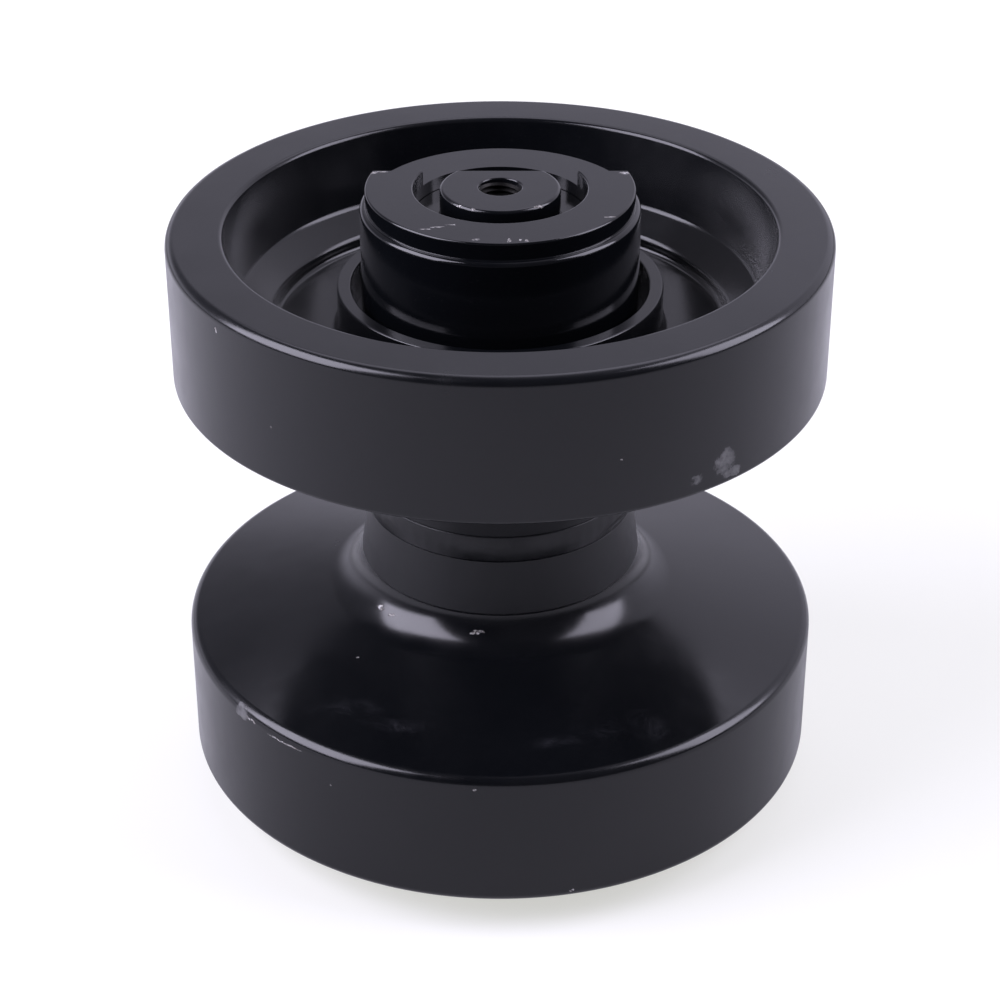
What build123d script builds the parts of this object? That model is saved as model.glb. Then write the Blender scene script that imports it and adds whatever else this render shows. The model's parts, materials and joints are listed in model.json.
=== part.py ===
"""Track idler: a double-rimmed wheel that turns on a fixed shaft between two collars.

The frame is in millimetres, with +Z along the shaft and the origin at the middle of the wheel.
The flats that stop the shaft from turning face +Y.
"""
from build123d import *
import math
import os

# Driving dimensions of the wheel
WHEEL_DIAMETER = 250.0
TREAD_WIDTH = 56.4
RIM_GAP = 109.2
OUTER_EDGE_ROUND = 3.5
UPPER_INNER_EDGE_ROUND = 1.7
LOWER_INNER_EDGE_ROUND = 4.4

# Dish in the outer face of each wheel half
DISH_MOUTH_DIAMETER = 207.4
DISH_MOUTH_ROUND = 2.0
DISH_WALL_FOOT_DIAMETER = 197.2
DISH_WALL_DEPTH = 28.8
DISH_LEDGE_DROP = 7.6
DISH_LEDGE_DIAMETER = 173.5
DISH_DEPTH = 41.0
DISH_FLOOR_ROUND = 2.5

# Seal guard ring that stands in the dish around the collar
GUARD_RING_WALL = 5.4
GUARD_RING_HEIGHT = 17.2
GUARD_RING_CHAMFER = 0.8

# Hub between the rims
HUB_DIAMETER_AT_WELD = 104.6
HUB_DIAMETER_AT_CREASE = 110.2
HUB_CREASE_HEIGHT = 27.3
HUB_CREASE_STEP = 0.6
HUB_FILLET_START_TILT = 10.0
WEB_SLOPE = 12.0

# Weld that joins the two wheel halves
WELD_WIDTH = 11.4
WELD_CROWN = 0.7
WELD_ROOT_DEPTH = 8.5

# Shaft and its ends
SHAFT_DIAMETER = 65.0
SHAFT_SHOULDER_BELOW_END = 11.0
SPIGOT_DIAMETER = 45.2
SPIGOT_CHAMFER = 1.5
OVERALL_LENGTH = 252.0
END_FLAT_OFFSET = 14.6
END_FLAT_DEPTH = 6.0

# Tapped holes in the shaft ends, nominal M16
THREAD_DIAMETER = 16.0
THREAD_DEPTH = 34.0
THREAD_MOUTH_CHAMFER = 0.8
DRILL_POINT_ANGLE = 118.0

# Oil way from the lower tapped hole to the middle of the wheel
OIL_WAY_DIAMETER = 8.0
OIL_PLUG_DIAMETER = 10.0
OIL_PLUG_LENGTH = 10.0
OIL_PLUG_HEX = 5.0
OIL_PLUG_HEX_DEPTH = 5.0
OIL_PLUG_TAPER = 0.4

# Collars
COLLAR_DIAMETER = 105.0
COLLAR_SHOULDER_BELOW_END = 6.8
COLLAR_SHOULDER_ROUND = 1.8
COLLAR_BOSS_DIAMETER = 100.8
COLLAR_BOSS_ROUND = 0.8
COLLAR_BORE_CHAMFER = 0.8
COLLAR_NECK_WALL = 5.5

# Plain bushes, one at each end of the hub
BUSH_WALL = 4.0
BUSH_FLANGE_OVERHANG = 2.0
BUSH_FLANGE_THICKNESS = 3.0
BUSH_OIL_GROOVE_WIDTH = 3.0
BUSH_OIL_GROOVE_DEPTH = 0.8
BUSH_FLANGE_CLEARANCE = 0.2
OIL_POCKET_DIAMETER = 78.0
OIL_POCKET_LENGTH = 24.0

# Face seals: a pair of hard rings, each carried in a rubber ring
SEAL_PLANE_HEIGHT = 74.0
SEAL_BORE_DIAMETER = 94.0
SEAL_CAVITY_DEPTH = 11.5
SEAL_BORE_DRAFT = 0.4
SEAL_RING_INNER_DIAMETER = 78.4
SEAL_RING_FLANGE_THICKNESS = 3.0
SEAL_RING_LENGTH = 10.0
SEAL_RING_WALL = 2.4
SEAL_RING_RAMP = 1.6
SEAL_BAND_WIDTH = 1.8
SEAL_FACE_RELIEF = 0.4
SEAL_RING_RIM_CLEARANCE = 0.6

# Static ring between collar and shaft, and the pin that locks them
O_RING_SECTION = 2.7
O_RING_GROOVE_WIDTH = 4.2
O_RING_SHARE_OF_BODY = 0.125
PIN_DIAMETER = 10.0
PIN_SHARE_OF_BODY = 0.54
PIN_GRIP_IN_SHAFT = 12.0
PIN_RECESS = 1.5
PIN_CHAMFER = 0.8

# Clearances
RUNNING_CLEARANCE = 0.05
FIT_CLEARANCE = 0.02
END_FLOAT = 0.3
LABYRINTH_GAP = 3.0
GUARD_RING_CLEARANCE = 3.9

# Radii and heights that follow from the sizes above
WHEEL_RADIUS = WHEEL_DIAMETER / 2
RIM_INNER_FACE = RIM_GAP / 2
RIM_OUTER_FACE = RIM_INNER_FACE + TREAD_WIDTH
DISH_FLOOR = RIM_OUTER_FACE - DISH_DEPTH
DISH_LEDGE_TOP = RIM_OUTER_FACE - DISH_WALL_DEPTH
COLLAR_RADIUS = COLLAR_DIAMETER / 2
SHAFT_RADIUS = SHAFT_DIAMETER / 2
SHAFT_END = OVERALL_LENGTH / 2
SHAFT_SHOULDER = SHAFT_END - SHAFT_SHOULDER_BELOW_END
COLLAR_SHOULDER = SHAFT_END - COLLAR_SHOULDER_BELOW_END
GUARD_RING_INNER_RADIUS = COLLAR_RADIUS + GUARD_RING_CLEARANCE
GUARD_RING_OUTER_RADIUS = GUARD_RING_INNER_RADIUS + GUARD_RING_WALL
SEAL_FLOOR = SEAL_PLANE_HEIGHT - LABYRINTH_GAP / 2
COLLAR_FOOT = SEAL_PLANE_HEIGHT + LABYRINTH_GAP / 2
HUB_SEAL_SEAT = SEAL_FLOOR - SEAL_CAVITY_DEPTH
COLLAR_SEAL_SEAT = COLLAR_FOOT + SEAL_CAVITY_DEPTH
BUSH_BORE_RADIUS = SHAFT_RADIUS + RUNNING_CLEARANCE
BUSH_OUTER_RADIUS = BUSH_BORE_RADIUS + BUSH_WALL
BUSH_FLANGE_RADIUS = BUSH_OUTER_RADIUS + BUSH_FLANGE_OVERHANG
COLLAR_BORE_RADIUS = SHAFT_RADIUS + FIT_CLEARANCE
COLLAR_NECK_RADIUS = COLLAR_BORE_RADIUS + COLLAR_NECK_WALL
COLLAR_NECK_FOOT = HUB_SEAL_SEAT + END_FLOAT
SEAL_BORE_RADIUS = SEAL_BORE_DIAMETER / 2
SEAL_RING_INNER_RADIUS = SEAL_RING_INNER_DIAMETER / 2
SEAL_RING_RIM_RADIUS = SEAL_BORE_RADIUS - SEAL_RING_RIM_CLEARANCE
COLLAR_BODY_LENGTH = COLLAR_SHOULDER - COLLAR_SEAL_SEAT
O_RING_HEIGHT = COLLAR_SEAL_SEAT + O_RING_SHARE_OF_BODY * COLLAR_BODY_LENGTH
PIN_HEIGHT = COLLAR_SEAL_SEAT + PIN_SHARE_OF_BODY * COLLAR_BODY_LENGTH
PIN_FOOT = SHAFT_RADIUS - PIN_GRIP_IN_SHAFT
CUT_MARGIN = 5.0


def profile(points):
    """Closed face through (radius, height) points, drawn flat before it is turned."""
    return make_face(Polyline(*points, close=True))


def rounded(face, radius, point):
    """Round the corner of a flat profile that lies nearest to a (radius, height) point."""
    place = Vector(*point)
    corner = face.vertices().sort_by(lambda vertex: (Vector(*vertex) - place).length)[0]
    return fillet(corner, radius)


def turned(face):
    """Solid of revolution about the shaft's axis from a flat (radius, height) profile."""
    return revolve(Plane.XZ * face, Axis.Z)


def drilled(radius, foot, mouth):
    """Cylinder on the shaft's axis between two heights, used to bore a hole."""
    return Pos(0, 0, (foot + mouth) / 2) * Cylinder(radius, mouth - foot)


def turned_over(piece):
    """The same piece at the lower end, its flat still facing +Y."""
    return piece.rotate(Axis.Y, 180)


def hub_fillet(start_radius, start_height):
    """Arc of the large hub fillet, from below the crease until it meets the sloping web.

    It leaves the hub at the start tilt from the axis, and runs into the web without a corner.
    """
    tilt = math.radians(HUB_FILLET_START_TILT)
    slope = math.radians(WEB_SLOPE)
    web_height = RIM_INNER_FACE - (WHEEL_RADIUS - start_radius) * math.tan(slope)
    distance = (web_height - start_height) * math.cos(slope)
    radius = distance / (1 - math.sin(slope + tilt))
    centre_radius = start_radius + radius * math.cos(tilt)
    centre_height = start_height - radius * math.sin(tilt)
    points = []
    for angle in (tilt, (tilt + math.pi / 2 - slope) / 2, math.pi / 2 - slope):
        out = centre_radius - radius * math.cos(angle)
        points.append((out, centre_height + radius * math.sin(angle)))
    return ThreePointArc(*points)


def wheel_half(inner_edge_round):
    """Upper half of the wheel: rim, dished web, seal seat and half of the hub."""
    root_radius = HUB_DIAMETER_AT_WELD / 2 - WELD_ROOT_DEPTH
    arc_radius = HUB_DIAMETER_AT_CREASE / 2 - HUB_CREASE_STEP
    arc_height = HUB_CREASE_HEIGHT + HUB_CREASE_STEP
    arc = hub_fillet(arc_radius, arc_height)
    guard_ring_top = DISH_FLOOR + GUARD_RING_HEIGHT
    bush_seat = HUB_SEAL_SEAT - BUSH_FLANGE_THICKNESS
    bush_hole_radius = BUSH_OUTER_RADIUS + FIT_CLEARANCE
    flange_hole_radius = BUSH_FLANGE_RADIUS + BUSH_FLANGE_CLEARANCE
    ledge_foot = DISH_LEDGE_TOP - DISH_LEDGE_DROP
    hub_side = Polyline(
        (OIL_POCKET_DIAMETER / 2, 0),
        (root_radius, 0),
        (HUB_DIAMETER_AT_WELD / 2, WELD_WIDTH / 2),
        (HUB_DIAMETER_AT_CREASE / 2, HUB_CREASE_HEIGHT),
        (arc_radius, arc_height),
    )
    rim_side = Polyline(
        arc @ 1,
        (WHEEL_RADIUS, RIM_INNER_FACE),
        (WHEEL_RADIUS, RIM_OUTER_FACE),
        (DISH_MOUTH_DIAMETER / 2, RIM_OUTER_FACE),
        (DISH_WALL_FOOT_DIAMETER / 2, DISH_LEDGE_TOP),
        (DISH_LEDGE_DIAMETER / 2, ledge_foot),
        (DISH_LEDGE_DIAMETER / 2, DISH_FLOOR),
        (GUARD_RING_OUTER_RADIUS, DISH_FLOOR),
        (GUARD_RING_OUTER_RADIUS, guard_ring_top - GUARD_RING_CHAMFER),
        (GUARD_RING_OUTER_RADIUS - GUARD_RING_CHAMFER, guard_ring_top),
        (GUARD_RING_INNER_RADIUS + GUARD_RING_CHAMFER, guard_ring_top),
        (GUARD_RING_INNER_RADIUS, guard_ring_top - GUARD_RING_CHAMFER),
        (GUARD_RING_INNER_RADIUS, SEAL_FLOOR),
        (SEAL_BORE_RADIUS + SEAL_BORE_DRAFT, SEAL_FLOOR),
        (SEAL_BORE_RADIUS - SEAL_BORE_DRAFT, HUB_SEAL_SEAT),
        (flange_hole_radius, HUB_SEAL_SEAT),
        (flange_hole_radius, bush_seat),
        (bush_hole_radius, bush_seat),
        (bush_hole_radius, OIL_POCKET_LENGTH / 2),
        (OIL_POCKET_DIAMETER / 2, OIL_POCKET_LENGTH / 2),
        (OIL_POCKET_DIAMETER / 2, 0),
    )
    face = make_face([*hub_side.edges(), *arc.edges(), *rim_side.edges()])
    face = rounded(face, inner_edge_round, (WHEEL_RADIUS, RIM_INNER_FACE))
    face = rounded(face, OUTER_EDGE_ROUND, (WHEEL_RADIUS, RIM_OUTER_FACE))
    face = rounded(face, DISH_MOUTH_ROUND, (DISH_MOUTH_DIAMETER / 2, RIM_OUTER_FACE))
    face = rounded(face, DISH_FLOOR_ROUND, (DISH_LEDGE_DIAMETER / 2, DISH_FLOOR))
    face = rounded(face, DISH_FLOOR_ROUND, (GUARD_RING_OUTER_RADIUS, DISH_FLOOR))
    return turned(face)


def centre_weld_bead():
    """Ring of weld metal that fills the groove between the two halves, with a low crown."""
    toe_radius = HUB_DIAMETER_AT_WELD / 2
    toe_height = WELD_WIDTH / 2 - FIT_CLEARANCE
    root = (toe_radius - WELD_ROOT_DEPTH + FIT_CLEARANCE, 0)
    lower_toe = (toe_radius, -toe_height)
    upper_toe = (toe_radius, toe_height)
    flanks = Polyline(upper_toe, root, lower_toe)
    crown = ThreePointArc(lower_toe, (toe_radius + WELD_CROWN, 0), upper_toe)
    return turned(make_face([*flanks.edges(), *crown.edges()]))


def bush():
    """Upper flanged bush, with an oil groove along its bore and across its flange."""
    flange_face = HUB_SEAL_SEAT
    bush_foot = OIL_POCKET_LENGTH / 2
    sleeve = profile([
        (BUSH_BORE_RADIUS, bush_foot),
        (BUSH_OUTER_RADIUS, bush_foot),
        (BUSH_OUTER_RADIUS, flange_face - BUSH_FLANGE_THICKNESS),
        (BUSH_FLANGE_RADIUS, flange_face - BUSH_FLANGE_THICKNESS),
        (BUSH_FLANGE_RADIUS, flange_face),
        (BUSH_BORE_RADIUS, flange_face),
    ])
    bore_groove = Pos(BUSH_BORE_RADIUS, 0, (bush_foot + flange_face) / 2) * Box(
        2 * BUSH_OIL_GROOVE_DEPTH, BUSH_OIL_GROOVE_WIDTH, flange_face - bush_foot
    )
    flange_groove = Pos((BUSH_BORE_RADIUS + BUSH_FLANGE_RADIUS) / 2, 0, flange_face) * Box(
        BUSH_FLANGE_RADIUS - BUSH_BORE_RADIUS + 2 * BUSH_OIL_GROOVE_DEPTH,
        BUSH_OIL_GROOVE_WIDTH,
        2 * BUSH_OIL_GROOVE_DEPTH,
    )
    return turned(sleeve) - bore_groove - flange_groove


def hub_seal_ring():
    """Hard seal ring that turns with the hub, its lapped band facing the collar."""
    flange_foot = SEAL_PLANE_HEIGHT - SEAL_RING_FLANGE_THICKNESS
    ring_foot = SEAL_PLANE_HEIGHT - SEAL_RING_LENGTH
    sleeve_radius = SEAL_RING_INNER_RADIUS + SEAL_RING_WALL
    return turned(profile([
        (SEAL_RING_INNER_RADIUS, ring_foot),
        (sleeve_radius, ring_foot),
        (sleeve_radius + SEAL_RING_RAMP, flange_foot),
        (SEAL_RING_RIM_RADIUS, flange_foot),
        (SEAL_RING_RIM_RADIUS, SEAL_PLANE_HEIGHT),
        (SEAL_RING_RIM_RADIUS - SEAL_BAND_WIDTH, SEAL_PLANE_HEIGHT),
        (SEAL_RING_INNER_RADIUS, SEAL_PLANE_HEIGHT - SEAL_FACE_RELIEF),
    ]))


def hub_toric():
    """Rubber ring between the hub's seal bore and the ramp of the hard ring."""
    sleeve_length = SEAL_RING_LENGTH - SEAL_RING_FLANGE_THICKNESS
    ramp_radius = SEAL_RING_INNER_RADIUS + SEAL_RING_WALL + SEAL_RING_RAMP / 2
    half_gap = (SEAL_BORE_RADIUS - ramp_radius) / 2
    ramp_angle = math.atan(SEAL_RING_RAMP / sleeve_length)
    section_radius = half_gap * math.cos(ramp_angle) - FIT_CLEARANCE
    height = SEAL_PLANE_HEIGHT - SEAL_RING_LENGTH + sleeve_length / 2
    return Pos(0, 0, height) * Torus(ramp_radius + half_gap, section_radius)


def mirrored_to_collar(piece):
    """The collar's copy of a seal piece, facing the hub's across the seal plane."""
    return piece.mirror(Plane.XY.offset(SEAL_PLANE_HEIGHT))


def end_flat_cut():
    """Block that mills the flat beside both the collar's boss and the shaft's spigot."""
    height = END_FLAT_DEPTH + CUT_MARGIN
    depth = COLLAR_RADIUS + CUT_MARGIN
    corner = Pos(0, END_FLAT_OFFSET + depth / 2, SHAFT_END - END_FLAT_DEPTH + height / 2)
    return corner * Box(2 * depth, depth, height)


def pin_hole():
    """Radial hole through the collar's side and into the shaft."""
    depth = COLLAR_RADIUS + CUT_MARGIN - PIN_FOOT
    place = Pos(0, PIN_FOOT + depth / 2, PIN_HEIGHT) * Rot(90, 0, 0)
    return place * Cylinder(PIN_DIAMETER / 2 + FIT_CLEARANCE, depth)


def collar():
    """Upper collar: seal skirt and neck below, solid body, and a boss cut to a D."""
    groove_radius = COLLAR_BORE_RADIUS + O_RING_SECTION + FIT_CLEARANCE
    face = profile([
        (COLLAR_BORE_RADIUS, COLLAR_NECK_FOOT),
        (COLLAR_NECK_RADIUS, COLLAR_NECK_FOOT),
        (COLLAR_NECK_RADIUS, COLLAR_SEAL_SEAT),
        (SEAL_BORE_RADIUS - SEAL_BORE_DRAFT, COLLAR_SEAL_SEAT),
        (SEAL_BORE_RADIUS + SEAL_BORE_DRAFT, COLLAR_FOOT),
        (COLLAR_RADIUS, COLLAR_FOOT),
        (COLLAR_RADIUS, COLLAR_SHOULDER),
        (COLLAR_BOSS_DIAMETER / 2, COLLAR_SHOULDER),
        (COLLAR_BOSS_DIAMETER / 2, SHAFT_END),
        (COLLAR_BORE_RADIUS + COLLAR_BORE_CHAMFER, SHAFT_END),
        (COLLAR_BORE_RADIUS, SHAFT_END - COLLAR_BORE_CHAMFER),
        (COLLAR_BORE_RADIUS, O_RING_HEIGHT + O_RING_GROOVE_WIDTH / 2),
        (groove_radius, O_RING_HEIGHT + O_RING_GROOVE_WIDTH / 2),
        (groove_radius, O_RING_HEIGHT - O_RING_GROOVE_WIDTH / 2),
        (COLLAR_BORE_RADIUS, O_RING_HEIGHT - O_RING_GROOVE_WIDTH / 2),
    ])
    face = rounded(face, COLLAR_SHOULDER_ROUND, (COLLAR_RADIUS, COLLAR_SHOULDER))
    face = rounded(face, COLLAR_BOSS_ROUND, (COLLAR_BOSS_DIAMETER / 2, SHAFT_END))
    return turned(face) - end_flat_cut() - pin_hole()


def shaft_o_ring():
    """Static rubber ring in the collar's bore groove."""
    section_radius = O_RING_SECTION / 2
    return Pos(0, 0, O_RING_HEIGHT) * Torus(COLLAR_BORE_RADIUS + section_radius, section_radius)


def collar_pin():
    """Plain pin that locks the collar to the shaft."""
    length = COLLAR_RADIUS - PIN_RECESS - PIN_FOOT
    pin = Cylinder(PIN_DIAMETER / 2, length)
    pin = chamfer(pin.edges(), PIN_CHAMFER)
    return Pos(0, PIN_FOOT + length / 2, PIN_HEIGHT) * Rot(90, 0, 0) * pin


def tapped_hole():
    """Upper end's hole at the thread's outer diameter, with a chamfered mouth and a drill point."""
    radius = THREAD_DIAMETER / 2
    foot = SHAFT_END - THREAD_DEPTH
    point = foot - radius / math.tan(math.radians(DRILL_POINT_ANGLE / 2))
    return turned(profile([
        (0, point),
        (radius, foot),
        (radius, SHAFT_END - THREAD_MOUTH_CHAMFER),
        (radius + THREAD_MOUTH_CHAMFER, SHAFT_END),
        (radius + THREAD_MOUTH_CHAMFER, SHAFT_END + CUT_MARGIN),
        (0, SHAFT_END + CUT_MARGIN),
    ]))


def oil_plug_foot():
    """Height of the oil plug's inner end, below the lower tapped hole."""
    return THREAD_DEPTH - SHAFT_END + OIL_PLUG_LENGTH


def shaft():
    """Shaft with a spigot, a flat and a tapped hole at each end, and the oil way."""
    body = profile([
        (0, -SHAFT_END),
        (SPIGOT_DIAMETER / 2 - SPIGOT_CHAMFER, -SHAFT_END),
        (SPIGOT_DIAMETER / 2, -SHAFT_END + SPIGOT_CHAMFER),
        (SPIGOT_DIAMETER / 2, -SHAFT_SHOULDER),
        (SHAFT_RADIUS, -SHAFT_SHOULDER),
        (SHAFT_RADIUS, SHAFT_SHOULDER),
        (SPIGOT_DIAMETER / 2, SHAFT_SHOULDER),
        (SPIGOT_DIAMETER / 2, SHAFT_END - SPIGOT_CHAMFER),
        (SPIGOT_DIAMETER / 2 - SPIGOT_CHAMFER, SHAFT_END),
        (0, SHAFT_END),
    ])
    upper_cuts = [end_flat_cut(), pin_hole(), tapped_hole()]
    lower_cuts = [turned_over(cut) for cut in upper_cuts]
    plug_radius = OIL_PLUG_DIAMETER / 2 + FIT_CLEARANCE
    plug_hole = drilled(plug_radius, -SHAFT_END + THREAD_DEPTH, oil_plug_foot())
    oil_way = drilled(OIL_WAY_DIAMETER / 2, oil_plug_foot(), 0)
    cross_way = Rot(0, 90, 0) * Cylinder(OIL_WAY_DIAMETER / 2, SHAFT_DIAMETER + CUT_MARGIN)
    return turned(body) - upper_cuts - lower_cuts - plug_hole - oil_way - cross_way


def oil_plug():
    """Socket-headed taper plug that closes the oil way below the lower tapped hole."""
    top = oil_plug_foot()
    radius = OIL_PLUG_DIAMETER / 2
    plug = turned(profile([
        (0, top - OIL_PLUG_LENGTH),
        (radius, top - OIL_PLUG_LENGTH),
        (radius - OIL_PLUG_TAPER, top),
        (0, top),
    ]))
    socket = Pos(0, 0, top - OIL_PLUG_LENGTH) * extrude(
        RegularPolygon(OIL_PLUG_HEX / 2, 6, major_radius=False), OIL_PLUG_HEX_DEPTH
    )
    return plug - socket


def end_pieces():
    """The pieces that both ends have, modelled at the upper end."""
    return {
        "bush": bush(),
        "hub_seal_ring": hub_seal_ring(),
        "hub_toric": hub_toric(),
        "collar_seal_ring": mirrored_to_collar(hub_seal_ring()),
        "collar_toric": mirrored_to_collar(hub_toric()),
        "collar": collar(),
        "shaft_o_ring": shaft_o_ring(),
        "collar_pin": collar_pin(),
    }


def all_pieces():
    """Every piece of the idler by its node name."""
    pieces = {
        "upper_wheel_half": wheel_half(UPPER_INNER_EDGE_ROUND),
        "lower_wheel_half": turned_over(wheel_half(LOWER_INNER_EDGE_ROUND)),
        "centre_weld_bead": centre_weld_bead(),
        "shaft": shaft(),
        "oil_plug": oil_plug(),
    }
    for name, piece in end_pieces().items():
        pieces["upper_" + name] = piece
        pieces["lower_" + name] = turned_over(piece)
    return pieces


os.makedirs("parts", exist_ok=True)
for node, solid in all_pieces().items():
    export_step(solid, f"parts/{node}.step")
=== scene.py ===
"""Track idler, dressed around its CAD frame: turned and cut paint-covered steel on a pale floor."""
import json
import math

import bmesh
import bpy
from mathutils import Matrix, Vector, noise


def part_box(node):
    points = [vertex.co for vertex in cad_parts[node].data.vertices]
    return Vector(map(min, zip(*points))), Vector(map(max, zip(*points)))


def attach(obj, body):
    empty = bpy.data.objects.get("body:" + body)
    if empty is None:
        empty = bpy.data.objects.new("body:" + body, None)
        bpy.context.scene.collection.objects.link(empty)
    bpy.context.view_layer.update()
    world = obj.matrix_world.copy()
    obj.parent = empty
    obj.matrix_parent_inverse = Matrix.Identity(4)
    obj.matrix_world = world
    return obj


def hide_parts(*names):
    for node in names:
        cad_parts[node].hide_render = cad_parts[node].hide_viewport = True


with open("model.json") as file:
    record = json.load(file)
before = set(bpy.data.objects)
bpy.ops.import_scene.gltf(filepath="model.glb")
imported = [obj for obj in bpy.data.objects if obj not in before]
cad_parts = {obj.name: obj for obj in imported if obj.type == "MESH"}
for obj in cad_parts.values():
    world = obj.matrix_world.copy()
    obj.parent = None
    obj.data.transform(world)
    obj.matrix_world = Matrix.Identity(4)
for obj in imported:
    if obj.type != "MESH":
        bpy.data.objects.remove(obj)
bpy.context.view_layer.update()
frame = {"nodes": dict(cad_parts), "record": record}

nodes = frame["nodes"]
MM = 0.001

# Sizes of the wheel in millimetres, the same as the solids have
WHEEL_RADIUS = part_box("upper_wheel_half")[1].x / MM
RIM_OUTER_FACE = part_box("upper_wheel_half")[1].z / MM
SHAFT_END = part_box("shaft")[1].z / MM
COLLAR_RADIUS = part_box("upper_collar")[1].x / MM
TREAD_WIDTH = 56.4
RIM_INNER_FACE = RIM_OUTER_FACE - TREAD_WIDTH
RIM_OUTER_EDGE_ROUND = 3.5
UPPER_INNER_EDGE_ROUND = 1.7
LOWER_INNER_EDGE_ROUND = 4.4
WEB_SLOPE = 12.0
HUB_RADIUS_AT_WELD = 52.3
HUB_RADIUS_AT_CREASE = 55.1
HUB_CREASE_HEIGHT = 27.3
HUB_CREASE_STEP = 0.6
HUB_CREASE_ROUND = 0.35
HUB_FILLET_START_TILT = 10.0
HUB_FILLET_STEPS = 36
DISH_FLOOR = RIM_OUTER_FACE - 41.0
DISH_LEDGE_TOP = RIM_OUTER_FACE - 28.8
DISH_LEDGE_FOOT = DISH_LEDGE_TOP - 7.6
DISH_LEDGE_RADIUS = 86.75
DISH_MOUTH_RADIUS = 103.7
DISH_WALL_FOOT_RADIUS = 98.6
GUARD_RING_INNER_RADIUS = COLLAR_RADIUS + 3.9
GUARD_RING_OUTER_RADIUS = GUARD_RING_INNER_RADIUS + 5.4
GUARD_RING_TOP = DISH_FLOOR + 17.2
SEAL_FLOOR = 72.5
SEAL_SEAT = 61.0
SEAL_BORE_RADIUS = 47.0
BUSH_HOLE_RADIUS = 36.57
BUSH_FLANGE_RADIUS = BUSH_HOLE_RADIUS + 2.2
BUSH_FLANGE_SEAT = SEAL_SEAT - 3
OIL_POCKET_RADIUS = 39.0
OIL_POCKET_HALF_LENGTH = 12.0

# Roundings of the dish's corners in millimetres, softer than the solids have
DISH_MOUTH_ROUND = 2.0
DISH_WALL_FOOT_ROUND = 3.0
DISH_LEDGE_FOOT_ROUND = 3.5
DISH_FLOOR_ROUND = 2.4
GUARD_RING_FOOT_ROUND = 2.5
GUARD_RING_EDGE_ROUND = 0.8

# The weld bead in millimetres, with the gouge ground into its toe
WELD_HALF_WIDTH = 5.7
WELD_CROWN = 0.546
WELD_ROOT_DEPTH = 8.5
WELD_RIPPLES = 58
WELD_RIPPLE_HEIGHT = 0.032
WELD_RIPPLE_BOW = 0.9
WELD_WANDER = 0.35
WELD_WANDER_SCALE = 9
WELD_WANDER_HEIGHT = 0.12
GOUGE_ANGLE = math.radians(-30)
GOUGE_SPREAD = math.radians(10)
GOUGE_PLACE_ACROSS = -0.78
GOUGE_SPREAD_ACROSS = 0.2
GOUGE_DEPTH = 1.3

# Sizes of the shaft's ends and the collars in millimetres
SHAFT_RADIUS = 32.5
SHAFT_SHOULDER = SHAFT_END - 11.0
SPIGOT_RADIUS = 22.6
SPIGOT_EDGE_ROUND = 1.4
THREAD_RADIUS = 8.0
THREAD_DEPTH = 34.0
THREAD_TIP_DEPTH = 4.8
THREAD_PITCH = 2.0
THREAD_CREST_RADIUS = 6.9
THREAD_CREST_HALF_WIDTH = 0.14
THREAD_FLANK_HALF_WIDTH = 0.92
THREAD_ROOT_RADIUS = THREAD_RADIUS + 0.06
THREAD_START_RADIUS = THREAD_RADIUS + 0.05
THREAD_RUN_IN_TURNS = 0.8
THREAD_MOUTH = SHAFT_END - 1.2
THREAD_INNER_END = SHAFT_END - 31
FLAT_OFFSET = 14.6
FLAT_DEPTH = 6.0
CUT_EDGE_ROUND = 0.35
CUTTER_REACH = 70
CUTTER_PROUD = 5
COLLAR_BORE_RADIUS = SHAFT_RADIUS + 0.02
COLLAR_SHOULDER = SHAFT_END - 6.8
COLLAR_SHOULDER_ROUND = 1.8
COLLAR_FOOT = 75.5
COLLAR_SEAL_SEAT = 87.0
COLLAR_NECK_RADIUS = 38.02
COLLAR_NECK_FOOT = 61.3
BOSS_RADIUS = 50.4
FINE_EDGE_ROUND = 0.8
HOLE_MOUTH_ROUND = 0.7


# Shapes

def rounded_profile(corners, arc_steps=7):
    """Points of a closed (radius, height) outline, each corner (r, z, rounding) turned into an arc."""
    points = []
    count = len(corners)
    for i, (r, z, rounding) in enumerate(corners):
        corner = Vector((r, z))
        if rounding == 0:
            points.append(corner)
            continue
        before = (Vector(corners[i - 1][:2]) - corner).normalized()
        after = (Vector(corners[(i + 1) % count][:2]) - corner).normalized()
        half_angle = before.angle(after) / 2
        centre = corner + (before + after).normalized() * (rounding / math.sin(half_angle))
        start = corner + before * (rounding / math.tan(half_angle)) - centre
        end = corner + after * (rounding / math.tan(half_angle)) - centre
        start_angle = math.atan2(start.y, start.x)
        sweep = (math.atan2(end.y, end.x) - start_angle + math.pi) % (2 * math.pi) - math.pi
        for step in range(arc_steps + 1):
            angle = start_angle + sweep * step / arc_steps
            points.append(centre + rounding * Vector((math.cos(angle), math.sin(angle))))
    return points


def arc_points(centre, radius, start_angle, end_angle, steps):
    """Corners without rounding along an arc of the (radius, height) plane."""
    corners = []
    for step in range(steps + 1):
        angle = start_angle + (end_angle - start_angle) * step / steps
        corners.append((centre[0] + radius * math.cos(angle), centre[1] + radius * math.sin(angle), 0))
    return corners


def hub_fillet_corners():
    """The hub's concave fillet, from below the crease until it meets the sloping web."""
    start_radius = HUB_RADIUS_AT_CREASE - HUB_CREASE_STEP
    start_height = HUB_CREASE_HEIGHT + HUB_CREASE_STEP
    tilt, slope = math.radians(HUB_FILLET_START_TILT), math.radians(WEB_SLOPE)
    web_height = RIM_INNER_FACE - (WHEEL_RADIUS - start_radius) * math.tan(slope)
    radius = (web_height - start_height) * math.cos(slope) / (1 - math.sin(slope + tilt))
    centre = (start_radius + radius * math.cos(tilt), start_height - radius * math.sin(tilt))
    return arc_points(centre, radius, math.pi - tilt, math.pi / 2 + slope, HUB_FILLET_STEPS)


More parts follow.
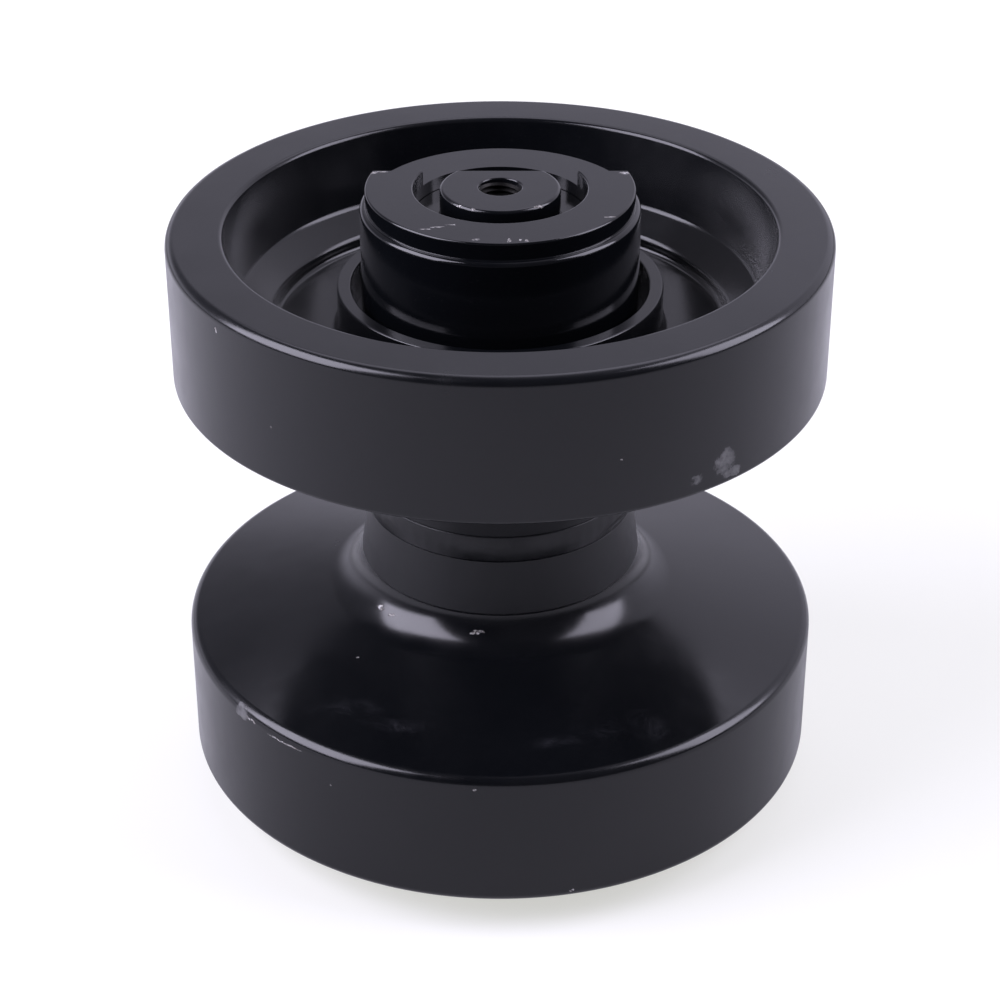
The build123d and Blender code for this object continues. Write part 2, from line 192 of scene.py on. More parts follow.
def wheel_half_corners(inner_edge_round):
    """Outline of the upper half of the wheel, from the weld's root outwards and back through the bore."""
    return [
        (OIL_POCKET_RADIUS, 0, 0),
        (HUB_RADIUS_AT_WELD - WELD_ROOT_DEPTH, 0, 0),
        (HUB_RADIUS_AT_WELD, WELD_HALF_WIDTH, 0.2),
        (HUB_RADIUS_AT_CREASE, HUB_CREASE_HEIGHT, HUB_CREASE_ROUND),
        *hub_fillet_corners(),
        (WHEEL_RADIUS, RIM_INNER_FACE, inner_edge_round),
        (WHEEL_RADIUS, RIM_OUTER_FACE, RIM_OUTER_EDGE_ROUND),
        (DISH_MOUTH_RADIUS, RIM_OUTER_FACE, DISH_MOUTH_ROUND),
        (DISH_WALL_FOOT_RADIUS, DISH_LEDGE_TOP, DISH_WALL_FOOT_ROUND),
        (DISH_LEDGE_RADIUS, DISH_LEDGE_FOOT, DISH_LEDGE_FOOT_ROUND),
        (DISH_LEDGE_RADIUS, DISH_FLOOR, DISH_FLOOR_ROUND),
        (GUARD_RING_OUTER_RADIUS, DISH_FLOOR, GUARD_RING_FOOT_ROUND),
        (GUARD_RING_OUTER_RADIUS, GUARD_RING_TOP, GUARD_RING_EDGE_ROUND),
        (GUARD_RING_INNER_RADIUS, GUARD_RING_TOP, GUARD_RING_EDGE_ROUND),
        (GUARD_RING_INNER_RADIUS, SEAL_FLOOR, 0.3),
        (SEAL_BORE_RADIUS, SEAL_FLOOR, 0.5),
        (SEAL_BORE_RADIUS, SEAL_SEAT, 0.2),
        (BUSH_FLANGE_RADIUS, SEAL_SEAT, 0.2),
        (BUSH_FLANGE_RADIUS, BUSH_FLANGE_SEAT, 0),
        (BUSH_HOLE_RADIUS, BUSH_FLANGE_SEAT, 0),
        (BUSH_HOLE_RADIUS, OIL_POCKET_HALF_LENGTH, 0),
        (OIL_POCKET_RADIUS, OIL_POCKET_HALF_LENGTH, 0),
    ]


def collar_corners():
    """Outline of the upper collar before its flat is cut."""
    return [
        (COLLAR_BORE_RADIUS, COLLAR_NECK_FOOT, 0.2),
        (COLLAR_NECK_RADIUS, COLLAR_NECK_FOOT, 0.3),
        (COLLAR_NECK_RADIUS, COLLAR_SEAL_SEAT, 0),
        (SEAL_BORE_RADIUS, COLLAR_SEAL_SEAT, 0),
        (SEAL_BORE_RADIUS, COLLAR_FOOT, 0.4),
        (COLLAR_RADIUS, COLLAR_FOOT, FINE_EDGE_ROUND),
        (COLLAR_RADIUS, COLLAR_SHOULDER, COLLAR_SHOULDER_ROUND),
        (BOSS_RADIUS, COLLAR_SHOULDER, 0.25),
        (BOSS_RADIUS, SHAFT_END, FINE_EDGE_ROUND),
        (COLLAR_BORE_RADIUS, SHAFT_END, HOLE_MOUTH_ROUND),
    ]


def shaft_corners():
    """Outline of the shaft from the foot of its lower hole to the drilled tip of its upper one."""
    hole_foot = SHAFT_END - THREAD_DEPTH
    return [
        (0, -hole_foot, 0),
        (THREAD_RADIUS, -hole_foot, 0),
        (THREAD_RADIUS, -SHAFT_END, HOLE_MOUTH_ROUND),
        (SPIGOT_RADIUS, -SHAFT_END, SPIGOT_EDGE_ROUND),
        (SPIGOT_RADIUS, -SHAFT_SHOULDER, 0.5),
        (SHAFT_RADIUS, -SHAFT_SHOULDER, 0.4),
        (SHAFT_RADIUS, SHAFT_SHOULDER, 0.4),
        (SPIGOT_RADIUS, SHAFT_SHOULDER, 0.5),
        (SPIGOT_RADIUS, SHAFT_END, SPIGOT_EDGE_ROUND),
        (THREAD_RADIUS, SHAFT_END, HOLE_MOUTH_ROUND),
        (THREAD_RADIUS, hole_foot, 0),
        (0, hole_foot - THREAD_TIP_DEPTH, 0),
    ]


def turned_mesh(name, outline, segments=256, lower=False):
    """Mesh of an outline turned about the shaft's axis; lower=True makes the lower end's copy."""
    bm = bmesh.new()
    rings = []
    for i in range(segments):
        angle = 2 * math.pi * i / segments
        rings.append([
            bm.verts.new((p.x * MM * math.cos(angle), p.x * MM * math.sin(angle), p.y * MM))
            for p in outline
        ])
    for i, ring in enumerate(rings):
        following = rings[(i + 1) % segments]
        for k in range(len(outline)):
            n = (k + 1) % len(outline)
            bm.faces.new((ring[k], following[k], following[n], ring[n]))
    bmesh.ops.remove_doubles(bm, verts=bm.verts, dist=1e-7)
    bmesh.ops.dissolve_degenerate(bm, edges=bm.edges, dist=1e-8)
    if lower:
        for vert in bm.verts:
            vert.co.z = -vert.co.z
    bmesh.ops.recalc_face_normals(bm, faces=bm.faces)
    return finished_mesh(bm, name)


def finished_mesh(bm, name):
    """Mesh data from a bmesh, smooth shaded."""
    for face in bm.faces:
        face.smooth = True
    mesh = bpy.data.meshes.new(name)
    bm.to_mesh(mesh)
    bm.free()
    return mesh


def piece(name, mesh, body, slot_name, material, *replaced):
    """Object of the idler that rides on a body and stands for CAD nodes."""
    obj = bpy.data.objects.new(name, mesh)
    bpy.context.scene.collection.objects.link(obj)
    mesh.materials.clear()
    mesh.materials.append(material)
    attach(obj, body)
    if replaced:
        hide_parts(*replaced)
    return obj


def even_normals(obj):
    """Weighted normals, so that flat faces stay flat between their rounded edges."""
    modifier = obj.modifiers.new("even_normals", "WEIGHTED_NORMAL")
    modifier.weight = 100
    modifier.keep_sharp = True


def box_mesh(name, low, high):
    """Closed box between two corners in millimetres."""
    bm = bmesh.new()
    bmesh.ops.create_cube(bm, size=1)
    for vert in bm.verts:
        vert.co = Vector(((low[k] if vert.co[k] < 0 else high[k]) * MM for k in range(3)))
    mesh = bpy.data.meshes.new(name)
    bm.to_mesh(mesh)
    bm.free()
    return mesh


def cut_flats(mesh, ends):
    """The mesh with the D-flat milled at its ends, 1 upper and -1 lower, and the cut's edges rounded."""
    scratch = bpy.data.objects.new("scratch", mesh)
    bpy.context.scene.collection.objects.link(scratch)
    cutters = []
    for end in ends:
        low, high = sorted((end * (SHAFT_END - FLAT_DEPTH), end * (SHAFT_END + CUTTER_PROUD)))
        corners = (-CUTTER_REACH, FLAT_OFFSET, low), (CUTTER_REACH, CUTTER_REACH, high)
        block = box_mesh("cutter", *corners)
        cutter = bpy.data.objects.new("cutter", block)
        bpy.context.scene.collection.objects.link(cutter)
        cutters.append(cutter)
        modifier = scratch.modifiers.new("flat", "BOOLEAN")
        modifier.object = cutter
        modifier.operation = "DIFFERENCE"
        modifier.solver = "EXACT"
    rounding = scratch.modifiers.new("rounding", "BEVEL")
    rounding.width = CUT_EDGE_ROUND * MM
    rounding.segments = 3
    rounding.limit_method = "ANGLE"
    rounding.angle_limit = math.radians(35)
    rounding.use_clamp_overlap = True
    graph = bpy.context.evaluated_depsgraph_get()
    result = bpy.data.meshes.new_from_object(scratch.evaluated_get(graph))
    for obj in (scratch, *cutters):
        bpy.data.objects.remove(obj)
    for polygon in result.polygons:
        polygon.use_smooth = True
    return result


def weld_radius(turn, place):
    """Radius of the bead's skin at an angle and at a place across it, from -1 to 1."""
    wander = WELD_WANDER * noise.noise(
        Vector((math.cos(turn), math.sin(turn), 0.3 * place)) * WELD_WANDER_SCALE
    )
    crown = 1 - place**2
    ripple = math.sin(turn * WELD_RIPPLES + WELD_RIPPLE_BOW * place**2 + wander)
    radius = HUB_RADIUS_AT_WELD + crown * (
        WELD_CROWN + WELD_RIPPLE_HEIGHT * ripple + WELD_WANDER_HEIGHT * wander
    )
    along = math.remainder(turn - GOUGE_ANGLE, 2 * math.pi) / GOUGE_SPREAD
    across = (place - GOUGE_PLACE_ACROSS) / GOUGE_SPREAD_ACROSS
    return radius - GOUGE_DEPTH * math.exp(-along**2 - across**2) * (1 + 2 * wander)


def weld_mesh():
    """Weld bead with shallow overlapping ripples, an uneven toe and a gouge."""
    segments, across = 720, 14
    root = HUB_RADIUS_AT_WELD - WELD_ROOT_DEPTH + 0.02
    bm = bmesh.new()
    rings = []
    for i in range(segments):
        turn = 2 * math.pi * i / segments
        outline = []
        for k in range(across + 1):
            place = -1 + 2 * k / across
            outline.append((weld_radius(turn, place), place * WELD_HALF_WIDTH))
        outline.append((root, 0))
        rings.append([
            bm.verts.new((radius * MM * math.cos(turn), radius * MM * math.sin(turn), height * MM))
            for radius, height in outline
        ])
    for i, ring in enumerate(rings):
        following = rings[(i + 1) % segments]
        for k in range(len(ring)):
            n = (k + 1) % len(ring)
            bm.faces.new((ring[k], following[k], following[n], ring[n]))
    bmesh.ops.recalc_face_normals(bm, faces=bm.faces)
    return finished_mesh(bm, "centre_weld_bead_visible")


def thread_mesh(name, mouth, inner):
    """Helical ridge of the thread between two heights, its root sunk in the hole's wall."""
    steps = 40
    turns = abs(mouth - inner) / THREAD_PITCH
    direction = 1 if inner > mouth else -1
    bm = bmesh.new()
    rings = []
    for i in range(int(turns * steps) + 1):
        turn = 2 * math.pi * i / steps
        height = mouth + direction * i / steps * THREAD_PITCH
        run_in = min(1, i / steps / THREAD_RUN_IN_TURNS)
        crest = THREAD_START_RADIUS - (THREAD_START_RADIUS - THREAD_CREST_RADIUS) * run_in
        section = [
            (THREAD_ROOT_RADIUS, -THREAD_FLANK_HALF_WIDTH),
            (crest, -THREAD_CREST_HALF_WIDTH),
            (crest, THREAD_CREST_HALF_WIDTH),
            (THREAD_ROOT_RADIUS, THREAD_FLANK_HALF_WIDTH),
        ]
        rings.append([
            bm.verts.new((
                r * MM * math.cos(turn), r * MM * math.sin(turn) * direction, (height + dz) * MM,
            ))
            for r, dz in section
        ])
    for previous, ring in zip(rings, rings[1:]):
        for k in range(4):
            n = (k + 1) % 4
            bm.faces.new((previous[k], ring[k], ring[n], previous[n]))
    bm.faces.new(rings[0])
    bm.faces.new(rings[-1])
    bmesh.ops.recalc_face_normals(bm, faces=bm.faces)
    mesh = bpy.data.meshes.new(name)
    bm.to_mesh(mesh)
    bm.free()
    return mesh


# Materials

class Graph:
    """Short calls for building a material's node tree."""

    def __init__(self, name):
        self.material = bpy.data.materials.new(name)
        self.material.use_nodes = True
        self.tree = self.material.node_tree
        self.shader = self.tree.nodes["Principled BSDF"]
        self.place = self.node("ShaderNodeTexCoord").outputs["Object"]

    def node(self, kind, **settings):
        made = self.tree.nodes.new(kind)
        for key, value in settings.items():
            setattr(made, key, value)
        return made

    def plug(self, socket, value):
        if isinstance(value, bpy.types.NodeSocket):
            self.tree.links.new(value, socket)
        else:
            socket.default_value = value

    def math(self, operation, *values):
        made = self.node("ShaderNodeMath", operation=operation)
        for socket, value in zip(made.inputs, values):
            self.plug(socket, value)
        return made.outputs[0]

    def vector(self, operation, *values):
        made = self.node("ShaderNodeVectorMath", operation=operation)
        for socket, value in zip(made.inputs, values):
            self.plug(socket, value)
        return made.outputs["Value" if operation in ("LENGTH", "DISTANCE") else "Vector"]

    def noise(self, scale, detail=3.0, roughness=0.5, place=None, distortion=0.0):
        made = self.node("ShaderNodeTexNoise")
        self.plug(made.inputs["Vector"], place or self.place)
        made.inputs["Scale"].default_value = scale
        made.inputs["Detail"].default_value = detail
        made.inputs["Roughness"].default_value = roughness
        made.inputs["Distortion"].default_value = distortion
        return made.outputs["Fac"]

    def voronoi(self, scale, place=None):
        made = self.node("ShaderNodeTexVoronoi")
        self.plug(made.inputs["Vector"], place or self.place)
        made.inputs["Scale"].default_value = scale
        return made.outputs["Distance"]

    def span(self, value, low, high, out_low=0.0, out_high=1.0):
        made = self.node("ShaderNodeMapRange")
        names = ("Value", "From Min", "From Max", "To Min", "To Max")
        for key, number in zip(names, (value, low, high, out_low, out_high)):
            self.plug(made.inputs[key], number)
        return made.outputs[0]

    def blend(self, factor, first, second):
        made = self.node("ShaderNodeMix", data_type="RGBA")
        self.plug(made.inputs[0], factor)
        self.plug(made.inputs[6], first)
        self.plug(made.inputs[7], second)
        return made.outputs[2]

    def bump(self, height, strength, distance, normal=None):
        made = self.node("ShaderNodeBump")
        self.plug(made.inputs["Height"], height)
        made.inputs["Strength"].default_value = strength
        made.inputs["Distance"].default_value = distance
        if normal:
            self.plug(made.inputs["Normal"], normal)
        return made.outputs[0]

    def spots(self, places, wobble_scale, wobble, core=0.8):
        """1 inside any of the spots and 0 outside, ragged at their rims.

        A spot is (x, y, z, half-lengths along x, y, z) in millimetres, and core is the share of it
        that is fully covered.
        """
        shift = self.node("ShaderNodeTexNoise")
        self.plug(shift.inputs["Vector"], self.place)
        shift.inputs["Scale"].default_value = wobble_scale
        shift.inputs["Detail"].default_value = 4
        centred = self.vector("SUBTRACT", shift.outputs["Color"], (0.5, 0.5, 0.5))
        moved = self.vector("MULTIPLY_ADD", centred, (wobble * MM,) * 3, self.place)
        nearest = None
        for x, y, z, sx, sy, sz in places:
            offset = self.vector("SUBTRACT", moved, (x * MM, y * MM, z * MM))
            scaled = self.vector("MULTIPLY", offset, (1 / (sx * MM), 1 / (sy * MM), 1 / (sz * MM)))
            reach = self.vector("LENGTH", scaled)
            nearest = reach if nearest is None else self.math("MINIMUM", nearest, reach)
        return self.span(nearest, 1.0, core)

    def added(self, value, mask, amount):
        """The value, raised by the amount where the mask is 1."""
        return self.math("ADD", value, self.math("MULTIPLY", mask, amount))

    def covered(self, tone, mask, share, over):
        """The tone, with the given share of another colour over it where the mask is 1."""
        return self.blend(self.math("MULTIPLY", mask, share), tone, over)


PAINT_TONE = (0.0024, 0.0028, 0.0036, 1)
PAINT_IOR = 1.33
DUST_TONE = (0.12, 0.115, 0.11, 1)
SMEAR_TONE = (0.035, 0.035, 0.041, 1)
SCUFF_TONE = (0.22, 0.22, 0.22, 1)
BARE_STEEL_DULL = (0.20, 0.18, 0.16, 1)
BARE_STEEL_BRIGHT = (0.62, 0.61, 0.60, 1)
HUB_EXTRA_ROUGHNESS = 0.26
DULL_HUB_RADIUS = HUB_RADIUS_AT_CREASE + 0.6
DULL_HUB_HEIGHT = HUB_CREASE_HEIGHT + 0.7
DULL_HUB_FADE = 0.5
NIB_SHIFT = (0.013, 0.007, 0.003)


def dull_hub_mask(g):
    """1 on the hub between its creases, where the paint is duller."""
    parts = g.node("ShaderNodeSeparateXYZ")
    g.plug(parts.inputs[0], g.place)
    across = g.vector("LENGTH", g.vector("MULTIPLY", g.place, (1, 1, 0)))
    height = g.math("ABSOLUTE", parts.outputs["Z"])
    return g.math(
        "MULTIPLY",
        g.span(across, (DULL_HUB_RADIUS + DULL_HUB_FADE) * MM, (DULL_HUB_RADIUS - DULL_HUB_FADE) * MM),
        g.span(height, (DULL_HUB_HEIGHT + DULL_HUB_FADE) * MM, (DULL_HUB_HEIGHT - DULL_HUB_FADE) * MM),
    )


def black_paint(name, roughness, peel, chips=(), smears=(), scuffs=(), dull_hub=False):
    """Glossy black enamel: orange peel, dust, nibs, faint smears, scuffs, and chips down to steel."""
    g = Graph(name)
    uneven = g.span(g.noise(9, 4), 0.3, 0.7)
    fine = g.noise(140, 3)
    cloud = g.span(g.noise(34, 5, 0.6), 0.35, 0.75)
    dust = g.span(g.noise(900, 2, 0.7), 0.66, 0.8)
    tone = g.blend(uneven, PAINT_TONE, (*(1.5 * c for c in PAINT_TONE[:3]), 1))
    tone = g.covered(tone, dust, 0.10, DUST_TONE)
    gloss = g.math("ADD", g.math("MULTIPLY", cloud, 0.7), g.math("MULTIPLY", fine, 0.3))
    rough = g.span(gloss, 0.0, 1.0, roughness * 0.7, roughness * 1.5)
    if smears:
        streaks = g.span(g.noise(75, 6, 0.7, distortion=1.6), 0.42, 0.72)
        veil = g.math("MULTIPLY", g.spots(smears, 30, 26, 0.1), streaks)
        tone = g.covered(tone, veil, 0.45, SMEAR_TONE)
        rough = g.added(rough, veil, 0.12)
    if scuffs:
        grit = g.span(g.noise(300, 6, 0.75), 0.30, 0.58)
        rubbed = g.math("MULTIPLY", g.spots(scuffs, 300, 5, 0.6), grit)
        tone = g.covered(tone, rubbed, 0.7, SCUFF_TONE)
        rough = g.added(rough, rubbed, 0.35)
    if dull_hub:
        rough = g.added(rough, dull_hub_mask(g), HUB_EXTRA_ROUGHNESS)
    nib_cells = g.voronoi(95, g.vector("MULTIPLY_ADD", g.place, (1, 1, 1), NIB_SHIFT))
    nibs = g.span(nib_cells, 0.0, 0.055, 1.0, 0.0)
    close, broad = g.noise(260, 2), g.noise(70, 2)
    relief = g.math("ADD", g.math("MULTIPLY", close, 0.35), g.math("MULTIPLY", broad, 0.65))
    normal = g.bump(relief, peel, 0.0004)
    normal = g.bump(nibs, 0.10, 0.0002, normal)
    if chips:
        ragged = g.span(g.noise(900, 4, 0.7), 0.40, 0.56)
        bare = g.math("MULTIPLY", g.spots(chips, 420, 2.2), ragged)
        steel = g.blend(g.span(g.noise(500, 3), 0.35, 0.65), BARE_STEEL_DULL, BARE_STEEL_BRIGHT)
        tone = g.blend(bare, tone, steel)
        rough = g.added(rough, bare, 0.25)
        normal = g.bump(g.math("SUBTRACT", 1.0, bare), 0.6, 0.00015, normal)
        g.plug(g.shader.inputs["Metallic"], g.math("MULTIPLY", bare, 0.35))
    g.plug(g.shader.inputs["Base Color"], tone)
    for layer in ("", "Coat "):
        g.plug(g.shader.inputs[layer + "Roughness"], rough)
        g.plug(g.shader.inputs[layer + "Normal"], normal)
        g.shader.inputs[layer + "IOR"].default_value = PAINT_IOR
    g.shader.inputs["Coat Weight"].default_value = 1.0
    return g.material


def worn_metal(name, low, high, roughness, grain):
    """Machined metal with a fine grain, uneven tone and roughness."""
    g = Graph(name)
    tone = g.blend(g.span(g.noise(60, 5, 0.6), 0.3, 0.7), low, high)
    rough = g.span(g.noise(180, 4), 0.3, 0.7, roughness * 0.75, roughness * 1.3)
    g.plug(g.shader.inputs["Base Color"], tone)
    g.plug(g.shader.inputs["Roughness"], rough)
    g.shader.inputs["Metallic"].default_value = 1.0
    stretched = g.vector("MULTIPLY", g.place, (1, 1, grain))
    g.plug(g.shader.inputs["Normal"], g.bump(g.noise(700, 3, place=stretched), 0.25, 0.0001))
    return g.material


def rubber(name):
    """Moulded black rubber with a matt, faintly bloomed skin."""
    g = Graph(name)
    bloom = g.span(g.noise(50, 5, 0.6), 0.4, 0.75)
    tone = g.blend(bloom, (0.012, 0.012, 0.013, 1), (0.035, 0.034, 0.033, 1))
    g.plug(g.shader.inputs["Base Color"], tone)
    g.plug(g.shader.inputs["Roughness"], g.span(bloom, 0, 1, 0.42, 0.62))
    g.plug(g.shader.inputs["Normal"], g.bump(g.noise(600, 3), 0.2, 0.0001))
    return g.material


# Worn places as (x, y, z, half-lengths along x, y, z) in millimetres
COLLAR_CHIPS = [
    (-48.2, 12.6, 125.7, 2.2, 1.0, 1.4),
    (-44.8, 13.9, 126.0, 2.6, 0.7, 0.8),
    (47.0, 12.6, 125.8, 2.4, 1.0, 1.2),
    (-27.0, -37.8, 126.0, 2.6, 0.5, 0.6),
    (-22.6, -36.1, 126.0, 2.8, 0.5, 0.6),
    (-18.0, -34.2, 126.0, 2.4, 0.6, 0.6),
    (-8.6, -46.6, 125.9, 1.8, 0.9, 0.9),
    (3.2, -47.4, 125.8, 0.6, 2.0, 1.0),
    (7.2, -47.2, 125.8, 0.5, 1.3, 1.0),
    (9.4, -47.8, 125.7, 0.7, 1.0, 0.8),
    (39.8, -27.3, 126.0, 2.4, 0.6, 0.6),
]
SHAFT_CHIPS = [
    (-15.0, -16.4, 125.4, 2.4, 1.2, 0.5),
    (-10.0, -19.6, 125.4, 1.6, 0.6, 0.5),
    (13.6, -17.2, 125.4, 2.6, 1.4, 0.5),
]
RIM_CHIPS = [
    (-81.0, -94.6, -58.9, 10.0, 9.0, 0.45),
    (-94.5, -81.6, -57.8, 3.0, 3.4, 0.5),
    (-47.0, -35.6, -36.8, 4.4, 1.5, 0.8),
    (-41.6, -40.6, -36.9, 3.4, 1.2, 0.6),
    (-9.6, -56.4, -34.6, 4.0, 0.7, 0.8),
    (-9.6, -124.6, -58.8, 0.8, 0.8, 0.6),
    (27.0, -121.9, -107.4, 0.8, 0.8, 0.6),
    (-99.5, -75.6, 104.6, 0.7, 0.7, 1.1),
    (41.6, -117.8, 76.3, 0.5, 0.5, 0.5),
    (-79.9, -95.9, 77.1, 0.45, 0.45, 0.45),
    (-63.2, -107.7, -69.0, 0.5, 0.5, 0.4),
    (-55.1, -58.3, -45.2, 0.5, 0.5, 0.5),
]
RIM_SCUFFS = [
    (78.9, -96.9, 64.0, 5.5, 5.5, 5.5),
    (82.0, -94.4, 58.6, 5.5, 4.5, 2.2),
    (68.5, -104.5, 60.5, 2.8, 2.4, 2.6),
    (-98.5, -77.0, -57.6, 4.0, 5.0, 3.0),
]
RIM_SMEARS = [
    (38.0, -97.0, -51.0, 14.0, 5.0, 6.0),
    (54.0, -96.0, -52.0, 10.0, 8.0, 6.0),
    (20.0, -104.0, -51.5, 14.0, 4.0, 6.0),
    (-60.0, -84.0, -50.0, 18.0, 7.0, 6.0),
    (-38.0, -94.0, -50.5, 18.0, 5.0, 6.0),
]

rim_paint = black_paint(
    "rim_paint", 0.20, 0.09, chips=RIM_CHIPS, smears=RIM_SMEARS, scuffs=RIM_SCUFFS, dull_hub=True,
)
collar_paint = black_paint("collar_paint", 0.13, 0.08, chips=COLLAR_CHIPS)
shaft_paint = black_paint("shaft_paint", 0.18, 0.06, chips=SHAFT_CHIPS)
weld_paint = black_paint("weld_paint", 0.38, 0.08)
thread_steel = worn_metal("thread_steel", (0.012, 0.012, 0.012, 1), (0.05, 0.048, 0.046, 1), 0.45, 4)


# Pieces

for end, edge_round in (("upper", UPPER_INNER_EDGE_ROUND), ("lower", LOWER_INNER_EDGE_ROUND)):
    name = end + "_wheel_half_visible"
    outline = rounded_profile(wheel_half_corners(edge_round))
    mesh = turned_mesh(name, outline, lower=end == "lower")
    even_normals(piece(name, mesh, "wheel", "black_paint", rim_paint, end + "_wheel_half"))
piece("centre_weld_bead_visible", weld_mesh(), "wheel", "black_paint", weld_paint, "centre_weld_bead")

collar_outline = rounded_profile(collar_corners())
for end, sign in (("upper", 1), ("lower", -1)):
    name = end + "_collar_visible"
    mesh = cut_flats(turned_mesh(name, collar_outline, lower=end == "lower"), [sign])
    mesh.name = name
    even_normals(piece(name, mesh, "root", "black_paint", collar_paint, end + "_collar"))

shaft_mesh = cut_flats(turned_mesh("shaft_visible", rounded_profile(shaft_corners())), [1, -1])
shaft_mesh.name = "shaft_visible"
even_normals(piece("shaft_visible", shaft_mesh, "root", "shaft_black_paint", shaft_paint, "shaft"))
for end, sign in (("upper", 1), ("lower", -1)):
    name = end + "_thread"
    mesh = thread_mesh(name, sign * THREAD_MOUTH, sign * THREAD_INNER_END)
    piece(name, mesh, "root", "shaft_black_paint", thread_steel)

hidden_finish = {
    "plug_steel": worn_metal("plug_steel", (0.30, 0.29, 0.28, 1), (0.46, 0.45, 0.43, 1), 0.35, 1),
    "bush_bronze": worn_metal("bush_bronze", (0.42, 0.26, 0.11, 1), (0.62, 0.43, 0.20, 1), 0.28, 6),
    "seal_iron": worn_metal("seal_iron", (0.20, 0.20, 0.20, 1), (0.36, 0.35, 0.34, 1), 0.22, 1),
    "seal_rubber": rubber("seal_rubber"),
    "pin_steel": worn_metal("pin_steel", (0.12, 0.12, 0.12, 1), (0.24, 0.23, 0.22, 1), 0.32, 1),
}
for part in frame["record"]["subparts"]:
    finish = hidden_finish.get(part["material_slot"])
    if finish:
        mesh = nodes[part["node"]].data
        mesh.materials.clear()
        mesh.materials.append(finish)


# Floor, world, lights and camera

FLOOR_HEIGHT = -SHAFT_END * MM
FLOOR_HALF_SIZE = 12
FLOOR_TONE = (0.43, 0.43, 0.43, 1)
FLOOR_UNEVENNESS = 0.97
FLOOR_WHITE_NEAR = 0.57
FLOOR_WHITE_FAR = 0.95
FLOOR_WHITE_STARTS = 0.3
FLOOR_WHITE_ENDS = 1.8
FLOOR_WHITE_IN_GLOSS = 0.04
FLOOR_WHITE_TONE = (1.0, 1.0, 0.95, 1)

# World strengths: on the camera's side, behind the idler and to both sides, and at the horizon
WORLD_FRONT = 0.048
WORLD_BACK = 0.44
WORLD_BACK_LEFT = 0.42
WORLD_BACK_RIGHT = 1.6
WORLD_HORIZON_LEFT = 1.7
WORLD_HORIZON_RIGHT = 1.4
LIGHT_TINT = (0.94, 0.91, 1.1)

# Softboxes as name, azimuth and elevation in degrees, distance, width and height in metres, watts
SOFTBOXES = [
    ("left_softbox", -73, 35, 1.6, 1.4, 1.4, 42),
    ("right_softbox", 84, 34, 1.6, 1.0, 1.35, 21),
    ("back_softbox", 180, 60, 2.4, 1.8, 1.2, 7.6),
]

# Camera in metres, degrees and millimetres, fitted to the circles of the photograph
CAMERA_PLACE = (-0.000075, -0.88564, 0.51291)
CAMERA_TILT = 59.49
CAMERA_LENS = 93.12
CAMERA_SENSOR = 36


def floor_paper():
    """Pale paper, which the camera, glossy and transmission rays see with added white."""
    g = Graph("floor_paper")
    darker = (*(FLOOR_UNEVENNESS * c for c in FLOOR_TONE[:3]), 1)
    tone = g.blend(g.span(g.noise(3, 4), 0.3, 0.7), FLOOR_TONE, darker)
    g.plug(g.shader.inputs["Base Color"], tone)
    g.shader.inputs["Roughness"].default_value = 0.9
    g.shader.inputs["Specular IOR Level"].default_value = 0.0
    rays = g.node("ShaderNodeLightPath").outputs
    seen = g.math("MAXIMUM", rays["Is Camera Ray"], rays["Is Transmission Ray"])
    reach = g.vector("LENGTH", g.place)
    white = g.span(reach, FLOOR_WHITE_STARTS, FLOOR_WHITE_ENDS, FLOOR_WHITE_NEAR, FLOOR_WHITE_FAR)
    glow = g.added(g.math("MULTIPLY", seen, white), rays["Is Glossy Ray"], FLOOR_WHITE_IN_GLOSS)
    g.plug(g.shader.inputs["Emission Strength"], glow)
    g.shader.inputs["Emission Color"].default_value = FLOOR_WHITE_TONE
    return g.material


def floor():
    """Large pale floor that the idler stands on."""
    bm = bmesh.new()
    bmesh.ops.create_grid(bm, x_segments=8, y_segments=8, size=FLOOR_HALF_SIZE)
    for vert in bm.verts:
        vert.co.z = FLOOR_HEIGHT
    mesh = bpy.data.meshes.new("floor")
    bm.to_mesh(mesh)
    bm.free()
    mesh.materials.append(floor_paper())
    obj = bpy.data.objects.new("floor", mesh)
    bpy.context.scene.collection.objects.link(obj)


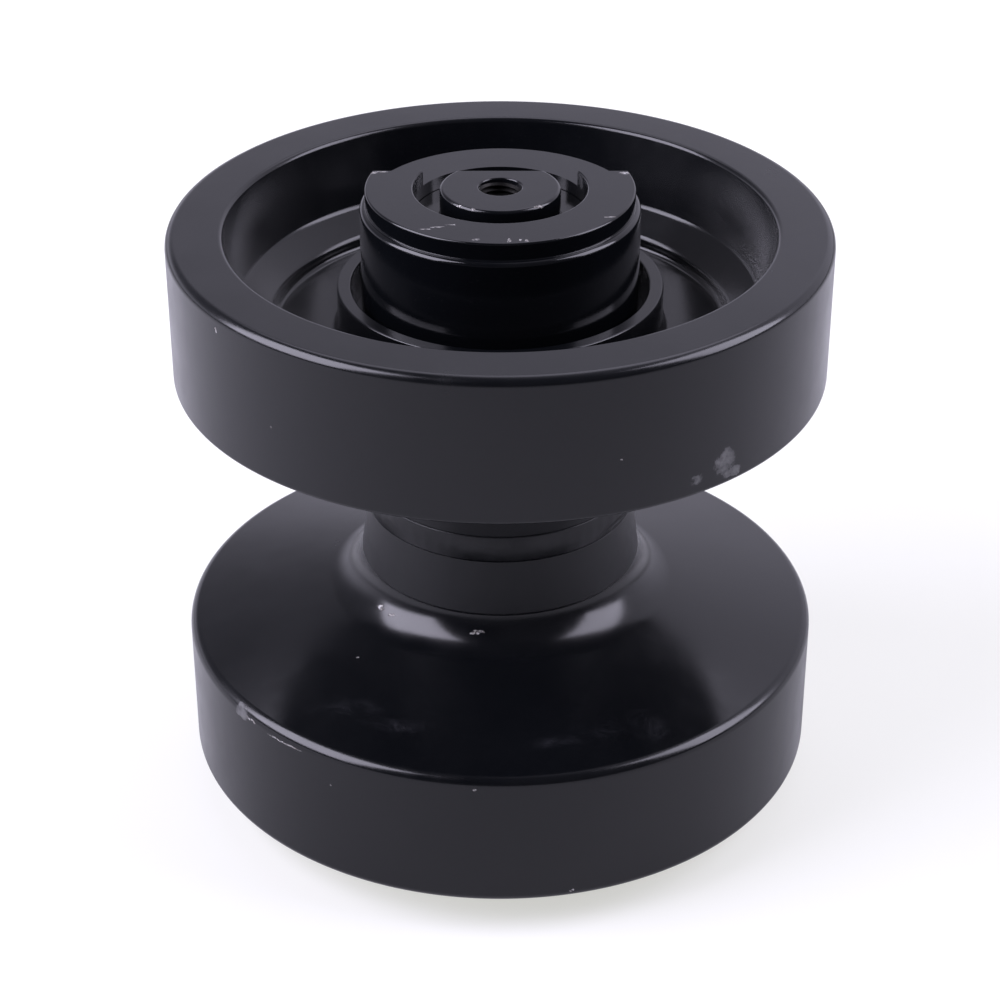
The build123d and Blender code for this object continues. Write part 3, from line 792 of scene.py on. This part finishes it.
def studio_world():
    """Soft surround: pale behind the idler, falling off to both sides, dim on the camera's side."""
    world = bpy.data.worlds.new("studio")
    bpy.context.scene.world = world
    world.use_nodes = True
    tree = world.node_tree
    background = tree.nodes["Background"]
    where = tree.nodes.new("ShaderNodeTexCoord")
    parts = tree.nodes.new("ShaderNodeSeparateXYZ")
    tree.links.new(where.outputs["Generated"], parts.inputs[0])

    def ramp(source, low, high, at_low, at_high):
        made = tree.nodes.new("ShaderNodeMapRange")
        made.interpolation_type = "SMOOTHSTEP"
        tree.links.new(source, made.inputs[0])
        for socket, value in zip(list(made.inputs)[1:5], (low, high, at_low, at_high)):
            socket.default_value = value
        return made.outputs[0]

    def combine(operation, first, second):
        made = tree.nodes.new("ShaderNodeMath")
        made.operation = operation
        for socket, value in zip(made.inputs, (first, second)):
            tree.links.new(value, socket)
        return made.outputs[0]

    across = combine("DIVIDE", parts.outputs["X"], ramp(parts.outputs["Y"], 0.0, 1.0, 0.2, 1.0))
    left = ramp(across, -0.5, 0.0, WORLD_BACK_LEFT, 1.0)
    right = ramp(across, 0.0, 0.35, 1.0, WORLD_BACK_RIGHT)
    horizon = ramp(across, -0.3, 0.3, WORLD_HORIZON_LEFT, WORLD_HORIZON_RIGHT)
    aloft = ramp(parts.outputs["Z"], 0.12, 0.36, 0.0, 1.0)
    level = tree.nodes.new("ShaderNodeMix")
    tree.links.new(aloft, level.inputs[0])
    tree.links.new(horizon, level.inputs[2])
    tree.links.new(combine("MULTIPLY", left, right), level.inputs[3])
    depth = ramp(parts.outputs["Y"], -0.45, 0.55, WORLD_FRONT, WORLD_BACK)
    strength = combine("MULTIPLY", depth, level.outputs[0])
    tree.links.new(strength, background.inputs["Strength"])
    background.inputs["Color"].default_value = (*LIGHT_TINT, 1)


def softbox(name, azimuth, elevation, distance, width, height, power):
    """Area light aimed at the idler; azimuth 0 is the camera's side."""
    light = bpy.data.lights.new(name, "AREA")
    light.shape = "RECTANGLE"
    light.size = width
    light.size_y = height
    light.energy = power
    light.color = LIGHT_TINT
    obj = bpy.data.objects.new(name, light)
    bpy.context.scene.collection.objects.link(obj)
    a, e = math.radians(azimuth), math.radians(elevation)
    towards = Vector((math.sin(a) * math.cos(e), -math.cos(a) * math.cos(e), math.sin(e)))
    obj.location = towards * distance
    obj.rotation_euler = (-towards).to_track_quat("-Z", "Y").to_euler()
    obj.visible_camera = False


def photo_camera():
    """Camera at the photograph's angle, made the scene's camera."""
    data = bpy.data.cameras.new("photo_camera")
    data.sensor_width = CAMERA_SENSOR
    data.lens = CAMERA_LENS
    data.clip_start = 0.02
    data.clip_end = 60
    obj = bpy.data.objects.new("photo_camera", data)
    bpy.context.scene.collection.objects.link(obj)
    obj.location = CAMERA_PLACE
    obj.rotation_euler = (math.radians(CAMERA_TILT), 0, 0)
    bpy.context.scene.camera = obj


floor()
studio_world()
for settings in SOFTBOXES:
    softbox(*settings)
photo_camera()
bpy.context.scene.view_settings.view_transform = "Standard"
